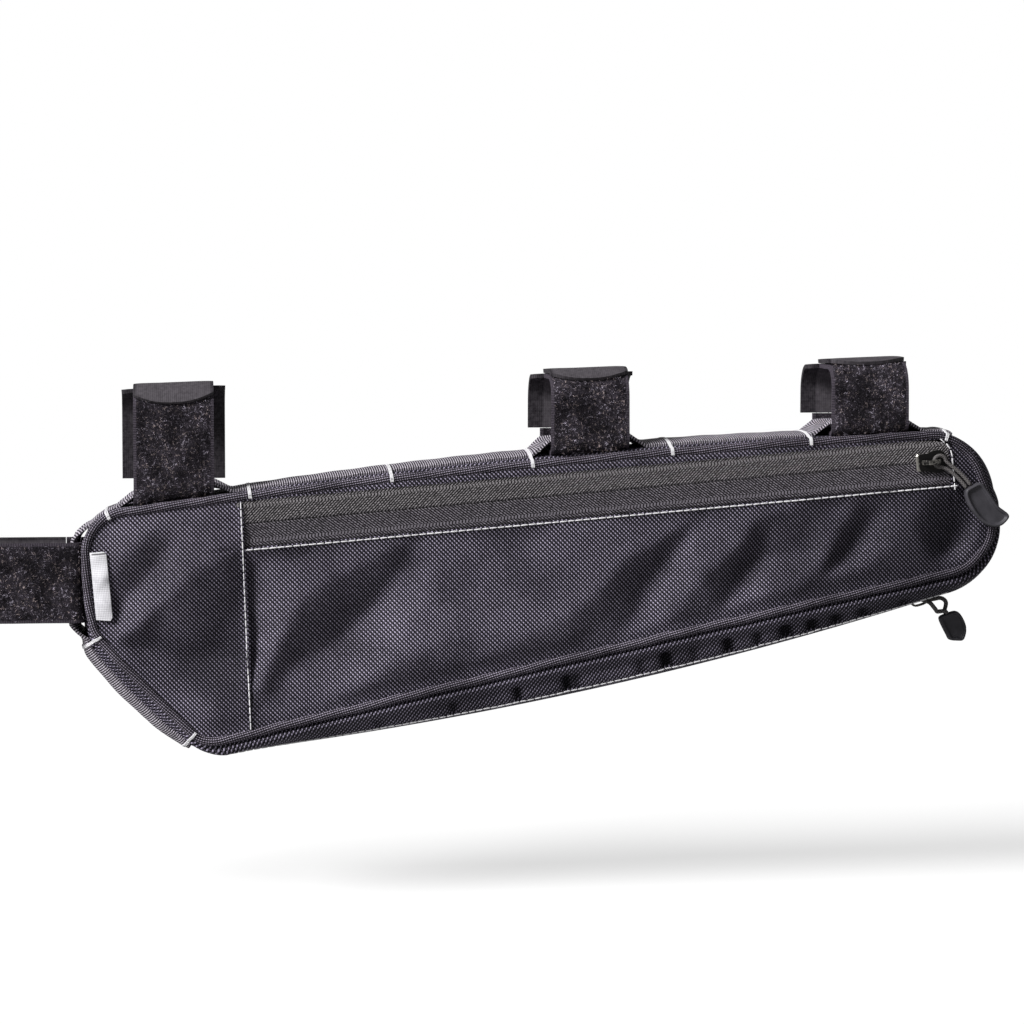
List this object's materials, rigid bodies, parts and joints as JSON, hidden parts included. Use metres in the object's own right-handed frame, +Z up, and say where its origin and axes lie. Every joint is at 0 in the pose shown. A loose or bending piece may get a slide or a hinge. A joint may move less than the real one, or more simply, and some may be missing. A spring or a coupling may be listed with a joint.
{
  "type": "bike frame bag",
  "caption": "Wedge-shaped soft bag slung under a bike's top tube by hook-and-loop straps, with a long side zip, an underside zip, corded pulls and a tacked webbing chain.",
  "frame": {"origin": "on the axis of the bar that the top straps close round, at the middle strap's middle", "axes": "+X along the bag from its deep front end to its shallow rear end, +Z up, the side zip faces -Y"},
  "size_m": [0.5242, 0.063, 0.19],
  "materials": {
    "black_weave": "matt black woven polyester",
    "piping_weave": "matt black bias-cut weave",
    "zip_tape": "matt black zip tape",
    "zip_coil": "black nylon",
    "slider_metal": "worn black enamel",
    "pull_cord": "braided grey cord",
    "pull_rubber": "matt dark grey",
    "webbing": "ribbed black webbing",
    "loop_tape": "fuzzy black loop tape",
    "hook_tape": "smooth dark grey hook tape",
    "tag_cloth": "plain pale woven tag"
  },
  "bodies": {
    "bag": {"far_panel": "black_weave", "far_piping": "piping_weave", "gusset_bottom_far": "black_weave", "gusset_bottom_near": "black_weave", "gusset_front": "black_weave", "gusset_rear": "black_weave", "gusset_top": "black_weave", "head_strap_base": "hook_tape", "head_strap_loop": "loop_tape", "near_panel_front": "black_weave", "near_panel_main": "black_weave", "near_piping": "piping_weave", "seam_binding_far": "webbing", "seam_binding_near": "webbing", "seam_tag": "tag_cloth", "side_zip_coil_lower": "zip_coil", "side_zip_coil_upper": "zip_coil", "side_zip_tape_lower": "zip_tape", "side_zip_tape_upper": "zip_tape", "top_strap_front_base": "hook_tape", "top_strap_front_loop": "loop_tape", "top_strap_middle_base": "hook_tape", "top_strap_middle_loop": "loop_tape", "top_strap_rear_base": "hook_tape", "top_strap_rear_loop": "loop_tape", "under_zip_coil_far": "zip_coil", "under_zip_coil_near": "zip_coil", "under_zip_tape_far": "zip_tape", "under_zip_tape_near": "zip_tape", "webbing_chain": "webbing"},
    "side_slider": {"side_zip_slider": "slider_metal"},
    "side_cord": {"side_zip_pull_cord": "pull_cord"},
    "side_tab": {"side_zip_pull_tab": "pull_rubber"},
    "under_slider": {"under_zip_slider": "slider_metal"},
    "under_cord": {"under_zip_pull_cord": "pull_cord"},
    "under_tab": {"under_zip_pull_tab": "pull_rubber"},
    "front_tab": {"top_strap_front_tab": "hook_tape"},
    "middle_tab": {"top_strap_middle_tab": "hook_tape"},
    "rear_tab": {"top_strap_rear_tab": "hook_tape"},
    "head_tab": {"head_strap_tab": "hook_tape"}
  },
  "joints": [
    {"name": "side_zip_slide", "type": "slide", "parent": "bag", "child": "side_slider", "axis": [-0.9965, 0, -0.0837], "range_m": [0, 0.318]},
    {"name": "side_pull_swing", "type": "hinge", "parent": "side_slider", "child": "side_cord", "pos_m": [0.16691, -0.02955, -0.02272], "axis": [0, 1, 0], "range_deg": [-120, 60]},
    {"name": "side_tab_lift", "type": "hinge", "parent": "side_cord", "child": "side_tab", "pos_m": [0.18074, -0.03322, -0.03521], "axis": [-0.829, 0, -0.5592], "range_deg": [0, 100]},
    {"name": "under_zip_slide", "type": "hinge", "parent": "bag", "child": "under_slider", "pos_m": [-0.38789, 0, 1.7268], "axis": [0, 1, 0], "range_deg": [0, 8.78]},
    {"name": "under_pull_swing", "type": "hinge", "parent": "under_slider", "child": "under_cord", "pos_m": [0.16525, 0, -0.09237], "axis": [0, 1, 0], "range_deg": [-8, 56]},
    {"name": "under_tab_swing", "type": "hinge", "parent": "under_cord", "child": "under_tab", "pos_m": [0.17691, -0.00245, -0.09964], "axis": [-0.9511, 0, -0.309], "range_deg": [0, 80]},
    {"name": "front_strap_peel", "type": "hinge", "parent": "bag", "child": "front_tab", "pos_m": [-0.2027, 0.01, 0.01362], "axis": [-0.9994, 0, -0.0349], "range_deg": [0, 90]},
    {"name": "middle_strap_peel", "type": "hinge", "parent": "bag", "child": "middle_tab", "pos_m": [-0.0034, 0.01, 0.02058], "axis": [-0.9994, 0, -0.0349], "range_deg": [0, 90]},
    {"name": "rear_strap_peel", "type": "hinge", "parent": "bag", "child": "rear_tab", "pos_m": [0.1337, 0.01, 0.02537], "axis": [-0.9994, 0, -0.0349], "range_deg": [0, 90]},
    {"name": "head_strap_peel", "type": "hinge", "parent": "bag", "child": "head_tab", "pos_m": [-0.32049, 0.01, -0.0789], "axis": [0, 0, -1], "range_deg": [0, 90]}
  ]
}
